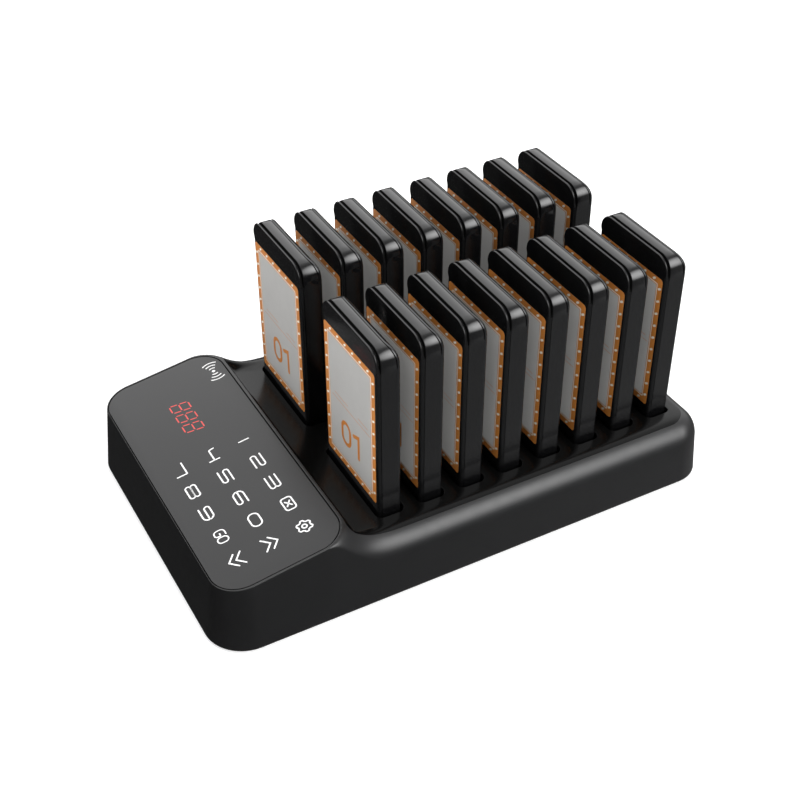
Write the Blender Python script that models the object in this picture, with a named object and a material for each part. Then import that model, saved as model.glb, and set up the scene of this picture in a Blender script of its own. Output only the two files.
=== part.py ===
"""Restaurant paging set: a keypad and charging base with two columns of upright pagers.

Axes: +X to the user's right, +Y from the keypad to the back row, +Z up.
Origin: centre of the footprint, on the table. Lengths below are in millimetres; MM turns them into metres.
"""
import math

import bmesh
import bpy

MM = 0.001
GAP = 0.3                       # clearance between separate pieces that touch in the real set
OVERCUT = 1.0                   # how far a cutter runs past the face it opens

# Base housing
BASE_LENGTH = 275.0
BASE_WIDTH = 171.0
FOOT_LIFT = 1.5                 # the housing's lower edge above the table
SIDE_DRAFT = 0.075              # inward lean of the side walls, per unit of height
END_DRAFT = 0.112               # inward lean of the front and back walls
FRONT_CORNER = 20.0
BACK_CORNER = 18.0
CROWN_Z = 35.2                  # top of the rounded rim round the deck
SHOULDER = 12.4                 # radius of that rim's outer shoulder
END_SHARE = 0.75                # the shoulder is that much shallower at the front and back
DECK_Z = 35.5
WALL = 2.5
CAVITY_CORNER = FRONT_CORNER - 2 * WALL
ROOF_Z = CROWN_Z - WALL         # top of the hollow under the deck
ROOF_INSET = 6.5                # how far that hollow narrows towards its roof
HANG_LAP = 0.8                  # how far pockets and bosses run into the roof they hang from

# Keypad block: its top is a plane that rises towards the back
PANEL_HALF = 82.5
PANEL_FRONT_Y = -133.7
PANEL_BACK_Y = -67.8
PANEL_FRONT_Z = 36.1
PANEL_BACK_Z = 46.5
PANEL_CORNER = 15.8
PANEL_RIM = 1.0                 # housing left showing round the glass
SWEEP = 9.0                     # reach of the rim's fall from the block to the deck
SWEEP_POWER = 1.35
GLASS = 1.6
SEAT_FLOOR = 2.2                # housing left under the glass, round the window
BLOCK_MARGIN = 6.0              # walls round the block's hollow
BLOCK_BACK_MARGIN = 4.0
BLOCK_HOLLOW_CORNER = 10.0
BLOCK_HOLLOW_LAP = 6.0          # how far it reaches down into the hollow under the deck
WINDOW_HALF = 68.0              # opening under the glass
WINDOW_FRONT_Y = PANEL_FRONT_Y + 10
WINDOW_BACK_Y = PANEL_BACK_Y - 9
WINDOW_CORNER = 4.0
WINDOW_DEPTH = 12.0
PANEL_SLOPE = (PANEL_BACK_Z - PANEL_FRONT_Z) / (PANEL_BACK_Y - PANEL_FRONT_Y)

# Deck: the flat area that holds the slots
DECK_HALF = 76.0
DECK_FRONT_Y = -67.3
DECK_BACK_Y = 127.5
DECK_CORNER = 11.0
DECK_ROOT = 3.0                 # how far the deck runs down into the housing's skin

# Pagers
ROWS = 8
ROW_PITCH = 22.2
ROW_FRONT_Y = -46.9             # front face of the row nearest the keypad
COLUMN_X = 38.75
PAGER_HALF = 26.75
PAGER_DEPTH = 12.3
PAGER_BOTTOM_Z = 26.5
PAGER_TOP_Z = 128.5
PAGER_CORNER = 8.0
SHELL = 1.8
FACE_THICKNESS = 1.4
FACE_CHAMFER_Y = 0.4
FACE_CHAMFER = 0.6
RIM_Y = 0.65                    # the front cover's rim ends here, in a groove
GROOVE_LEAN = 0.2
SPLIT_Y = 2.0                   # rear edge of the front cover
GROOVE_DEPTH = 0.8
GROOVE_END_Y = 2.5
BACK_ROUNDING = 1.4
BACK_THICKNESS = 1.5
TAPER_Z = 110.0                 # above this height the case's back curves forward
TAPER = 0.385                   # share of the case's depth lost at the very top
TAPER_POWER = 6

# Slots
SLOT_HALF = 29.0
SLOT_FRONT = -1.0               # slot edges, measured from the pager's front face
SLOT_BACK = 13.6
SLOT_CORNER = 3.5
SLOT_FLOOR_Z = PAGER_BOTTOM_Z - GAP
POCKET_WALL = 1.5
CONTACT_X = 12.0                # each charging contact, from the pager's middle
POST_R = 1.5                    # charging contact that comes up through the slot's floor
POST_HOLE_R = 2.1

# Socket in the back wall
JACK_X = -45.0
JACK_Z = 13.0
JACK_HALF_W = 4.4
JACK_HALF_H = 5.4
JACK_LENGTH = 13.0
JACK_BACK_Y = BASE_LENGTH / 2 - 2.6
JACK_BORE_R = 3.2
JACK_BORE_DEPTH = 10.0
JACK_PIN_R = 1.0
JACK_PIN_TIP = 1.5              # the pin ends this far inside the socket
PORT_ROOM = 0.4
PORT_DEPTH = 12.0

# Underside
BOSS_PLACES = ((-72.0, -119.0), (72.0, -119.0), (-72.5, 118.5), (72.5, 118.5))
BOSS_R = 3.6
BOSS_BORE_R = 1.6
BOSS_BORE_DEPTH = 9.0
BOSS_SEAT_LAP = 1.2             # how far a boss runs into the housing under the glass
COVER_TOP_Z = FOOT_LIFT + 2.5
FOOT_PLACES = ((-62.0, -112.0), (62.0, -112.0), (-62.0, 112.0), (62.0, 112.0))
FOOT_R = 7.0
FOOT_SEAT = 1.0                 # depth of a foot's seat in the cover
FOOT_ROUNDING = 0.6
SCREW_HOLE_R = 1.9
SCREW_SINK_R = 3.3
SCREW_SINK = 1.5
SCREW_LENGTH = 7.0
SCREW_R = 1.2
SCREW_HEAD_R = 2.8
SCREW_HEAD_CHAMFER = 0.4
SCREW_HEAD = 1.1

# Circuit boards and what stands on them
BOARD = 1.6                     # board thickness
KEY_BOARD_HALF = 64.0
KEY_BOARD_FRONT_Y = PANEL_FRONT_Y + 13
KEY_BOARD_BACK_Y = PANEL_BACK_Y - 12
KEY_BOARD_DROP = GLASS + 6.6    # its upper face, under the block's top plane
DISPLAY_X = (-52.0, -8.0)
DISPLAY_Y = (-112.0, -90.0)
CHARGE_BOARD_Z = 19.4           # its upper face
CHARGE_BOARD_MARGIN = 6.0
STRIP_HALF = 2.5
STRIP = 0.8
POST_LAP = 0.4                  # how far a post runs into its strip
MODULE_X = (20.0, 44.0)
MODULE_Y = (-100.0, -82.0)
MODULE_Z = (12.0, 15.0, 15.4)
MODULE_LID_INSET = 0.45
COIL_TURNS = 7
COIL_STEPS = 9                  # straight pieces per turn
COIL_R = 3.0
COIL_PITCH = 2.6
COIL_WIRE_R = 0.5
COIL_START = (54.0, -104.0, 16.0)
BUZZER_PLACE = (-40.0, -92.0)
BUZZER_PROFILE = ((8.0, 6.0), (14.5, 6.0), (15.0, 5.4), (15.0, 1.2), (10.0, 1.2))

# Inside the pager that is modelled open; depths are measured from its front face
WORKS_BOARD_Y = (4.2, 5.4)
WORKS_BOARD_HALF = 23.0
WORKS_BOARD_Z = (33.5, 121.0)
GUIDE_Y = (1.7, 3.9)
GUIDE_HALF = 23.5
GUIDE_Z = (33.0, 122.0)
GUIDE_BAND = 3.5                # width of the light guide's frame
BATTERY_Y = (5.7, 9.9)
BATTERY_HALF = 15.0
BATTERY_Z = (38.0, 90.0)
MOTOR_Y = 7.9
MOTOR_Z = 100.0
MOTOR_R = 2.2
MOTOR_LENGTH = 12.0
MOTOR_BORE_R = 0.9
MOTOR_BORE_DEPTH = 4.0
SHAFT_R = 0.55
SHAFT_X = (-3.4, 5.4)
WEIGHT_R = 2.1
WEIGHT_X = (1.0, 5.0)
CARRIER_HALF = 15.0
CARRIER_Y = (3.6, 9.4)
CARRIER = 1.9                   # its thickness
PAD_R = 2.0
PAD_WINDOW_R = 2.4
PAD_RECESS = 0.1                # the pads end this far above the case's lower edge

COLLECTION = bpy.context.scene.collection


# ---------------------------------------------------------------- helpers

def clear_scene():
    for old in list(bpy.data.objects):
        bpy.data.objects.remove(old, do_unlink=True)


def material(name, colour, roughness, metallic=0.0):
    made = bpy.data.materials.new(name)
    made.use_nodes = True
    shader = made.node_tree.nodes["Principled BSDF"]
    shader.inputs["Base Color"].default_value = (*colour, 1.0)
    shader.inputs["Roughness"].default_value = roughness
    shader.inputs["Metallic"].default_value = metallic
    return made


def rounded_rect(x0, x1, y0, y1, radius, steps=4, back_radius=None):
    """Anticlockwise outline, starting on the front right corner; back_radius rounds the y1 corners."""
    back = radius if back_radius is None else back_radius
    corners = ((x1 - radius, y0 + radius, -90, radius), (x1 - back, y1 - back, 0, back),
               (x0 + back, y1 - back, 90, back), (x0 + radius, y0 + radius, 180, radius))
    points = []
    for cx, cy, start, r in corners:
        for step in range(steps + 1):
            angle = math.radians(start + 90 * step / steps)
            points.append((cx + r * math.cos(angle), cy + r * math.sin(angle)))
    return points


def circle(cx, cy, radius, sides=12):
    turns = [2 * math.pi * i / sides for i in range(sides)]
    return [(cx + radius * math.cos(a), cy + radius * math.sin(a)) for a in turns]


def lofted(rings):
    """Vertices and faces of the closed solid that joins rings of equal length, capped at both ends."""
    count = len(rings[0])
    verts = [point for ring in rings for point in ring]
    faces = [list(range(count)), [(len(rings) - 1) * count + i for i in range(count)]]
    for row in range(len(rings) - 1):
        for i in range(count):
            j = (i + 1) % count
            faces.append([row * count + i, row * count + j, (row + 1) * count + j, (row + 1) * count + i])
    return verts, faces


def upright(outline, *heights):
    return lofted([[(x, y, z) for x, y in outline] for z in heights])


def block(x0, x1, y0, y1, z0, z1):
    return upright([(x0, y0), (x1, y0), (x1, y1), (x0, y1)], z0, z1)


def merged(solids):
    """Several separate solids as one vertex and face list."""
    verts, faces = [], []
    for some_verts, some_faces in solids:
        start = len(verts)
        verts += some_verts
        faces += [[start + i for i in face] for face in some_faces]
    return verts, faces


def add_mesh(name, solid, surface, origin=(0, 0, 0), parent=None):
    """Object from a solid given in world millimetres, with its own origin, faces turned outward."""
    verts, faces = solid
    mesh = bpy.data.meshes.new(name)
    mesh.from_pydata([[(p - o) * MM for p, o in zip(vert, origin)] for vert in verts], [], faces)
    cleaner = bmesh.new()
    cleaner.from_mesh(mesh)
    bmesh.ops.remove_doubles(cleaner, verts=cleaner.verts, dist=1e-7)
    bmesh.ops.recalc_face_normals(cleaner, faces=cleaner.faces)
    cleaner.to_mesh(mesh)
    cleaner.free()
    made = bpy.data.objects.new(name, mesh)
    COLLECTION.objects.link(made)
    if surface:
        mesh.materials.append(surface)
    if parent:
        made.parent = parent
        made.location = [o * MM - p for o, p in zip(origin, parent.location)]
    else:
        made.location = [o * MM for o in origin]
    return made


def smooth(piece, degrees=35):
    piece.data.shade_smooth()
    piece.data.set_sharp_from_angle(angle=math.radians(degrees))
    return piece


def boolean(piece, operation, solid, label):
    """Cuts or joins a solid with the EXACT solver; its guide object stays as a wire outline."""
    guide = add_mesh(label, solid, None)
    guide.hide_render = True
    guide.display_type = "WIRE"
    step = piece.modifiers.new(label, "BOOLEAN")
    step.operation = operation
    step.solver = "EXACT"
    step.object = guide


def panel_z(y, drop=0.0):
    """Height of the keypad block's top plane at y, less a drop."""
    return PANEL_FRONT_Z + PANEL_SLOPE * (y - PANEL_FRONT_Y) - drop


def tilted(outline, *drops):
    """Solid between planes that lie the given drops under the keypad block's top."""
    return lofted([[(x, y, panel_z(y, drop)) for x, y in outline] for drop in drops])


def slot_places():
    for side, letter in ((-1, "l"), (1, "r")):
        for row in range(ROWS):
            yield letter, row, side * COLUMN_X, ROW_FRONT_Y + row * ROW_PITCH


# ---------------------------------------------------------------- base housing

def wall_outline(z, inset=0.0, steps=6):
    """Outline of the drafted outer wall at height z, moved inward by inset."""
    rise = z - FOOT_LIFT
    half_x = BASE_WIDTH / 2 - SIDE_DRAFT * rise - inset
    half_y = BASE_LENGTH / 2 - END_DRAFT * rise - inset * END_SHARE
    front = max(FRONT_CORNER - END_DRAFT * rise - inset, 1.0)
    back = max(BACK_CORNER - END_DRAFT * rise - inset, 1.0)
    outline = rounded_rect(-half_x, half_x, -half_y, half_y, front, steps, back)
    return with_side_points(outline, half_x, steps)


def with_side_points(outline, half_x, steps):
    """Adds points along both sides where the rim sweeps down from the block to the deck."""
    stations = [PANEL_BACK_Y + dy for dy in (-11, -6, -2, 1, 4, 7, 11, 16, 24)]
    right = [(half_x, y) for y in stations]
    left = [(-half_x, y) for y in reversed(stations)]
    quarter = steps + 1
    return outline[:quarter] + right + outline[quarter:3 * quarter] + left + outline[3 * quarter:]


def block_share(x, y):
    """1 over the keypad block, falling off smoothly outside the rounded outline of its top."""
    mid_y = (PANEL_FRONT_Y + PANEL_BACK_Y) / 2
    half_y = (PANEL_BACK_Y - PANEL_FRONT_Y) / 2
    over_x = abs(x) - (PANEL_HALF - PANEL_CORNER)
    over_y = abs(y - mid_y) - (half_y - PANEL_CORNER)
    outside = math.hypot(max(over_x, 0), max(over_y, 0)) + min(max(over_x, over_y), 0) - PANEL_CORNER
    return math.exp(-(max(outside, 0) / SWEEP) ** SWEEP_POWER) if y > mid_y else 1.0


def rim_height(x, y, inset):
    """Height of the rim's skin at a point that lies inset from the outer wall."""
    reach = min(inset, SHOULDER)
    rim = CROWN_Z - SHOULDER + math.sqrt(SHOULDER ** 2 - (SHOULDER - reach) ** 2)
    share = block_share(x, y)
    return rim + (panel_z(y) - rim) * share


def housing_skin():
    """Outer form without the deck: drafted walls, rounded shoulder, keypad block and the sweep between."""
    rings = [[(x, y, FOOT_LIFT) for x, y in wall_outline(FOOT_LIFT)]]
    arcs = [SHOULDER * (1 - math.cos(math.radians(a))) for a in (0, 22.5, 45, 67.5, 90)]
    for inset in arcs + [SHOULDER + WALL]:
        ring = []
        for low, high in zip(wall_outline(CROWN_Z - SHOULDER, inset), wall_outline(PANEL_BACK_Z - 5, inset)):
            share = block_share(*high)
            x = low[0] + (high[0] - low[0]) * share
            y = low[1] + (high[1] - low[1]) * share
            ring.append((x, y, rim_height(x, y, inset)))
        rings.append(ring)
    return rings


def skin_solid(rings):
    """Closes the skin: a flat bottom, and a top made of strips from left to right."""
    verts, faces = lofted(rings)
    count = len(rings[0])
    faces.pop(1)
    start = (len(rings) - 1) * count
    for i in range(count // 2 - 1):
        left = count - 1 - i
        faces.append([start + i, start + i + 1, start + left - 1, start + left])
    return verts, faces


def deck_outline():
    return rounded_rect(-DECK_HALF, DECK_HALF, DECK_FRONT_Y, DECK_BACK_Y, DECK_CORNER, 4)


def tray_cavity():
    """Hollow under the deck; it narrows upwards to follow the rounded shoulder."""
    rings = []
    for z, inset in ((FOOT_LIFT - OVERCUT, WALL), (CROWN_Z - SHOULDER, WALL), (ROOF_Z, WALL + ROOF_INSET)):
        outline = rounded_rect(*inner_box(z, inset), CAVITY_CORNER + WALL - inset, 3)
        rings.append([(x, y, z) for x, y in outline])
    return lofted(rings)


def inner_box(z, inset):
    rise = z - FOOT_LIFT
    half_x = BASE_WIDTH / 2 - SIDE_DRAFT * rise - inset
    half_y = BASE_LENGTH / 2 - END_DRAFT * rise - inset
    return -half_x, half_x, -half_y, half_y


def block_cavity():
    """Hollow of the keypad block, above the roof of the tray's hollow."""
    half = PANEL_HALF - BLOCK_MARGIN
    outline = rounded_rect(-half, half, PANEL_FRONT_Y + BLOCK_MARGIN, PANEL_BACK_Y - BLOCK_BACK_MARGIN,
                           BLOCK_HOLLOW_CORNER, 3)
    low = [(x, y, ROOF_Z - BLOCK_HOLLOW_LAP) for x, y in outline]
    high = [(x, y, panel_z(y, GLASS + GAP + SEAT_FLOOR)) for x, y in outline]
    return lofted([low, high])


def bosses():
    solids = []
    for x, y in BOSS_PLACES:
        top = panel_z(y, GLASS + GAP + BOSS_SEAT_LAP) if y < 0 else ROOF_Z + HANG_LAP
        solids.append(upright(circle(x, y, BOSS_R, 10), COVER_TOP_Z + GAP, top))
    return merged(solids)


def boss_bores():
    solids = []
    for x, y in BOSS_PLACES:
        bore = circle(x, y, BOSS_BORE_R, 8)
        solids.append(upright(bore, COVER_TOP_Z - OVERCUT, COVER_TOP_Z + BOSS_BORE_DEPTH))
    return merged(solids)


def pockets():
    """The walls and floor that hang under each slot."""
    solids = []
    for _, _, x, y in slot_places():
        solids.append(block(x - SLOT_HALF - POCKET_WALL, x + SLOT_HALF + POCKET_WALL,
                            y + SLOT_FRONT - POCKET_WALL, y + SLOT_BACK + POCKET_WALL,
                            SLOT_FLOOR_Z - POCKET_WALL, ROOF_Z + HANG_LAP))
    return merged(solids)


def slot_cuts():
    solids = []
    for _, _, x, y in slot_places():
        outline = rounded_rect(x - SLOT_HALF, x + SLOT_HALF, y + SLOT_FRONT, y + SLOT_BACK, SLOT_CORNER, 3)
        solids.append(upright(outline, SLOT_FLOOR_Z, DECK_Z + OVERCUT))
    return merged(solids)


def contact_holes():
    solids = []
    for _, _, x, y in slot_places():
        for side in (-1, 1):
            hole = circle(x + side * CONTACT_X, y + PAGER_DEPTH / 2, POST_HOLE_R, 8)
            solids.append(upright(hole, SLOT_FLOOR_Z - POCKET_WALL - OVERCUT, SLOT_FLOOR_Z + OVERCUT))
    return merged(solids)


def top_housing(plastic):
    housing = add_mesh("top_housing", skin_solid(housing_skin()), plastic)
    deck = deck_outline()
    above = PANEL_BACK_Z + OVERCUT
    boolean(housing, "DIFFERENCE", upright(deck, DECK_Z, above), "deck_clearing")
    boolean(housing, "UNION", upright(deck, CROWN_Z - DECK_ROOT, DECK_Z), "deck_plateau")
    boolean(housing, "DIFFERENCE", tray_cavity(), "tray_hollow")
    boolean(housing, "DIFFERENCE", block_cavity(), "block_hollow")
    seat = rounded_rect(-PANEL_HALF + PANEL_RIM, PANEL_HALF - PANEL_RIM, PANEL_FRONT_Y + PANEL_RIM,
                        PANEL_BACK_Y - PANEL_RIM, PANEL_CORNER - PANEL_RIM, 6)
    boolean(housing, "DIFFERENCE", tilted(seat, GLASS + GAP, -OVERCUT), "glass_seat")
    window = rounded_rect(-WINDOW_HALF, WINDOW_HALF, WINDOW_FRONT_Y, WINDOW_BACK_Y, WINDOW_CORNER, 2)
    boolean(housing, "DIFFERENCE", tilted(window, WINDOW_DEPTH, -OVERCUT), "panel_window")
    boolean(housing, "UNION", pockets(), "slot_pockets")
    boolean(housing, "UNION", bosses(), "screw_bosses")
    boolean(housing, "DIFFERENCE", slot_cuts(), "slots")
    boolean(housing, "DIFFERENCE", contact_holes(), "contact_holes")
    boolean(housing, "DIFFERENCE", boss_bores(), "boss_bores")
    half_w, half_h = JACK_HALF_W + PORT_ROOM, JACK_HALF_H + PORT_ROOM
    port = block(JACK_X - half_w, JACK_X + half_w, BASE_LENGTH / 2 - PORT_DEPTH, BASE_LENGTH / 2 + OVERCUT,
                 JACK_Z - half_h, JACK_Z + half_h)
    boolean(housing, "DIFFERENCE", port, "jack_port")
    smooth(housing)


def bottom_cover(plastic):
    outline = rounded_rect(*inner_box(COVER_TOP_Z, WALL + GAP), CAVITY_CORNER + GAP, 3)
    cover = add_mesh("bottom_cover", upright(outline, FOOT_LIFT, COVER_TOP_Z), plastic)
    below = FOOT_LIFT - OVERCUT

    def sink(places, radius, sides, top, label):
        holes = merged([upright(circle(x, y, radius, sides), below, top) for x, y in places])
        boolean(cover, "DIFFERENCE", holes, label)

    sink(FOOT_PLACES, FOOT_R + GAP, 16, FOOT_LIFT + FOOT_SEAT, "foot_seats")
    sink(BOSS_PLACES, SCREW_HOLE_R, 10, COVER_TOP_Z + OVERCUT, "screw_holes")
    sink(BOSS_PLACES, SCREW_SINK_R, 12, FOOT_LIFT + SCREW_SINK, "screw_sinks")


def feet(rubber):
    for number, (x, y) in enumerate(FOOT_PLACES, 1):
        rings = [[(px, py, z) for px, py in circle(x, y, r, 16)]
                 for z, r in ((0, FOOT_R - FOOT_ROUNDING), (FOOT_ROUNDING, FOOT_R),
                              (FOOT_LIFT + FOOT_SEAT - GAP, FOOT_R))]
        smooth(add_mesh(f"foot_{number}", lofted(rings), rubber, (x, y, 0)))


def screws(steel):
    for number, (x, y) in enumerate(BOSS_PLACES, 1):
        under_head = FOOT_LIFT + SCREW_SINK - GAP
        head_z = under_head - SCREW_HEAD
        profile = ((head_z, SCREW_HEAD_R - SCREW_HEAD_CHAMFER), (head_z + SCREW_HEAD_CHAMFER, SCREW_HEAD_R),
                   (under_head, SCREW_HEAD_R), (under_head, SCREW_R), (COVER_TOP_Z + SCREW_LENGTH, SCREW_R))
        rings = [[(px, py, z) for px, py in circle(x, y, r, 8)] for z, r in profile]
        smooth(add_mesh(f"screw_{number}", lofted(rings), steel, (x, y, head_z)))


def keypad(glass, board_green, display_red):
    edge = PANEL_RIM + GAP
    outline = rounded_rect(-PANEL_HALF + edge, PANEL_HALF - edge, PANEL_FRONT_Y + edge, PANEL_BACK_Y - edge,
                           PANEL_CORNER - edge, 6)
    smooth(add_mesh("keypad_glass", tilted(outline, GLASS, 0), glass))
    board = rounded_rect(-KEY_BOARD_HALF, KEY_BOARD_HALF, KEY_BOARD_FRONT_Y, KEY_BOARD_BACK_Y, 3, 2)
    add_mesh("keypad_board", tilted(board, KEY_BOARD_DROP + BOARD, KEY_BOARD_DROP), board_green)
    digits = rounded_rect(*DISPLAY_X, *DISPLAY_Y, 1, 1)
    add_mesh("led_display", tilted(digits, KEY_BOARD_DROP - GAP, GLASS + GAP), display_red)


def charging_parts(board_green, copper):
    edge_x = COLUMN_X + SLOT_HALF
    back_y = ROW_FRONT_Y + (ROWS - 1) * ROW_PITCH + PAGER_DEPTH
    board = rounded_rect(-edge_x, edge_x, ROW_FRONT_Y - CHARGE_BOARD_MARGIN, back_y, 2, 1)
    add_mesh("charging_board", upright(board, CHARGE_BOARD_Z - BOARD, CHARGE_BOARD_Z), board_green)
    low_z = CHARGE_BOARD_Z + GAP
    lines = [side * COLUMN_X + hand * CONTACT_X for side in (-1, 1) for hand in (-1, 1)]
    for number, x in enumerate(lines, 1):
        bar = block(x - STRIP_HALF, x + STRIP_HALF, ROW_FRONT_Y, back_y, low_z, low_z + STRIP)
        strip = add_mesh(f"contact_strip_{number}", bar, copper)
        rows = [ROW_FRONT_Y + row * ROW_PITCH + PAGER_DEPTH / 2 for row in range(ROWS)]
        posts = merged([upright(circle(x, y, POST_R, 8), low_z + POST_LAP, SLOT_FLOOR_Z) for y in rows])
        boolean(strip, "UNION", posts, f"contact_posts_{number}")


def radio_parts(shield, copper, black):
    rings = []
    for z, inset in zip(MODULE_Z, (0, 0, MODULE_LID_INSET)):
        outline = rounded_rect(MODULE_X[0] + inset, MODULE_X[1] - inset, MODULE_Y[0] + inset, MODULE_Y[1] - inset,
                               1.5, 2)
        rings.append([(x, y, z) for x, y in outline])
    add_mesh("rf_module", lofted(rings), shield)
    path = bpy.data.curves.new("antenna", "CURVE")
    path.dimensions = "3D"
    spline = path.splines.new("POLY")
    spline.points.add(COIL_TURNS * COIL_STEPS)
    start_x, start_y, start_z = COIL_START
    for i, point in enumerate(spline.points):
        angle = 2 * math.pi * i / COIL_STEPS
        x, z = start_x + COIL_R * math.cos(angle), start_z + COIL_R * math.sin(angle)
        point.co = (x * MM, (start_y + COIL_PITCH * i / COIL_STEPS) * MM, z * MM, 1)
    path.bevel_depth = COIL_WIRE_R * MM
    path.bevel_resolution = 0
    path.use_fill_caps = True
    coil = bpy.data.objects.new("antenna", path)
    path.materials.append(copper)
    COLLECTION.objects.link(coil)
    rings = [[(x, y, z) for x, y in circle(*BUZZER_PLACE, r, 16)] for z, r in BUZZER_PROFILE]
    smooth(add_mesh("buzzer", lofted(rings), black))


def dc_jack(black):
    back, floor = JACK_BACK_Y, JACK_BACK_Y - JACK_BORE_DEPTH
    body = add_mesh("dc_jack", block(JACK_X - JACK_HALF_W, JACK_X + JACK_HALF_W, back - JACK_LENGTH, back,
                                     JACK_Z - JACK_HALF_H, JACK_Z + JACK_HALF_H), black)
    bore = [[(x, y, z) for x, z in circle(JACK_X, JACK_Z, JACK_BORE_R, 16)] for y in (floor, back + OVERCUT)]
    boolean(body, "DIFFERENCE", lofted(bore), "jack_bore")
    pin = [[(x, y, z) for x, z in circle(JACK_X, JACK_Z, JACK_PIN_R, 8)] for y in (floor - 1, back - JACK_PIN_TIP)]
    boolean(body, "UNION", lofted(pin), "jack_pin")


# ---------------------------------------------------------------- pagers

def pager_ring(x, y, depth, inset):
    """Outline of a pager at a depth behind its face, moved inward by inset, in the upright plane."""
    outline = rounded_rect(x - PAGER_HALF + inset, x + PAGER_HALF - inset, PAGER_BOTTOM_Z + inset,
                           PAGER_TOP_Z - inset, max(PAGER_CORNER - inset, 1.0), 3)
    return [(px, y + tapered(depth, pz), pz) for px, pz in outline]


def tapered(depth, z):
    """Depth of a point of the case at height z, given its depth lower down."""
    rise = max(z - TAPER_Z, 0) / (PAGER_TOP_Z - TAPER_Z)
    return depth - max(depth - GROOVE_END_Y, 0) * TAPER * rise ** TAPER_POWER


def cup(x, y, outer, hollow):
    """Closed cup from (depth, inset) steps: the outer run starts at the open rim, the hollow ends there."""
    rings = [pager_ring(x, y, depth, inset) for depth, inset in outer + hollow]
    count = len(rings[0])
    verts, faces = lofted(rings)
    last_outer = (len(outer) - 1) * count
    first_inner = len(outer) * count
    rim_inner = (len(rings) - 1) * count
    kept = [face for face in faces[2:] if not min(face) < first_inner <= max(face)]
    for start in (last_outer, first_inner):
        for i in range(count // 2 - 1):
            j = count - 1 - i
            kept.append([start + i, start + i + 1, start + j - 1, start + j])
    for i in range(count):
        j = (i + 1) % count
        kept.append([i, j, rim_inner + j, rim_inner + i])
    return verts, kept


def pager_front(x, y):
    """Lid with a rounded rim and a groove behind it; its hollow faces back."""
    outer = ((SPLIT_Y, GROOVE_DEPTH), (RIM_Y + GROOVE_LEAN, GROOVE_DEPTH), (RIM_Y, 0.0), (FACE_CHAMFER_Y, 0.0),
             (0.0, FACE_CHAMFER))
    return cup(x, y, outer, ((FACE_THICKNESS, SHELL), (SPLIT_Y, SHELL)))


def pager_case(x, y):
    """Cup that opens forward, towards the lid."""
    edge = SPLIT_Y + GAP
    bend = BACK_ROUNDING * (1 - math.sqrt(0.5))
    outer = ((edge, GROOVE_DEPTH), (GROOVE_END_Y, 0.0), (PAGER_DEPTH - BACK_ROUNDING, 0.0),
             (PAGER_DEPTH - bend, bend), (PAGER_DEPTH, BACK_ROUNDING))
    return cup(x, y, outer, ((PAGER_DEPTH - BACK_THICKNESS, SHELL), (edge, SHELL)))


def pagers(gloss):
    holders = {}
    for letter, row, x, y in slot_places():
        name = f"pager_{letter}{row + 1}"
        holder = bpy.data.objects.new(f"{name}_lift", None)
        holder.location = (x * MM, (y + PAGER_DEPTH / 2) * MM, PAGER_BOTTOM_Z * MM)
        COLLECTION.objects.link(holder)
        place = (x, y + PAGER_DEPTH / 2, PAGER_BOTTOM_Z)
        smooth(add_mesh(f"{name}_front", pager_front(x, y), gloss, place, holder))
        case = add_mesh(f"{name}_case", pager_case(x, y), gloss, place, holder)
        smooth(case)
        holders[name] = (holder, case, x, y)
    return holders


def pager_works(holder, case, x, y, board_green, white, silver, copper):
    """What is inside the pager nearest the keypad on the right, the one that is modelled open."""
    place = (x, y + PAGER_DEPTH / 2, PAGER_BOTTOM_Z)
    base = "pager_r1"

    def slab(outline, near, far):
        return lofted([[(px, depth, pz) for px, pz in outline] for depth in (y + near, y + far)])

    def plate(name, half, heights, depths, corner, surface):
        outline = rounded_rect(x - half, x + half, *heights, corner, 2)
        return add_mesh(f"{base}_{name}", slab(outline, *depths), surface, place, holder)

    plate("board", WORKS_BOARD_HALF, WORKS_BOARD_Z, WORKS_BOARD_Y, 4, board_green)
    plate("battery", BATTERY_HALF, BATTERY_Z, BATTERY_Y, 2, silver)
    guide = plate("light_guide", GUIDE_HALF, GUIDE_Z, GUIDE_Y, 5, white)
    inner_half = GUIDE_HALF - GUIDE_BAND
    inner = rounded_rect(x - inner_half, x + inner_half, GUIDE_Z[0] + GUIDE_BAND, GUIDE_Z[1] - GUIDE_BAND, 3, 3)
    window = slab(inner, GUIDE_Y[0] - OVERCUT, GUIDE_Y[1] + OVERCUT)
    boolean(guide, "DIFFERENCE", window, "light_guide_window")
    motor_and_weight(holder, base, x, y + MOTOR_Y, silver, copper)

    floor_z = PAGER_BOTTOM_Z + SHELL
    low_z = floor_z + GAP
    contact = block(x - CARRIER_HALF, x + CARRIER_HALF, y + CARRIER_Y[0], y + CARRIER_Y[1], low_z, low_z + CARRIER)
    carrier = add_mesh(f"{base}_contacts", contact, copper, place, holder)
    pads, holes = [], []
    for side in (-1, 1):
        spot = (x + side * CONTACT_X, y + PAGER_DEPTH / 2)
        pads.append(upright(circle(*spot, PAD_R, 10), PAGER_BOTTOM_Z + PAD_RECESS, low_z + CARRIER / 2))
        holes.append(upright(circle(*spot, PAD_WINDOW_R, 10), PAGER_BOTTOM_Z - OVERCUT, floor_z + OVERCUT / 2))
    boolean(carrier, "UNION", merged(pads), "contact_pads")
    boolean(case, "DIFFERENCE", merged(holes), "contact_windows")


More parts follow.
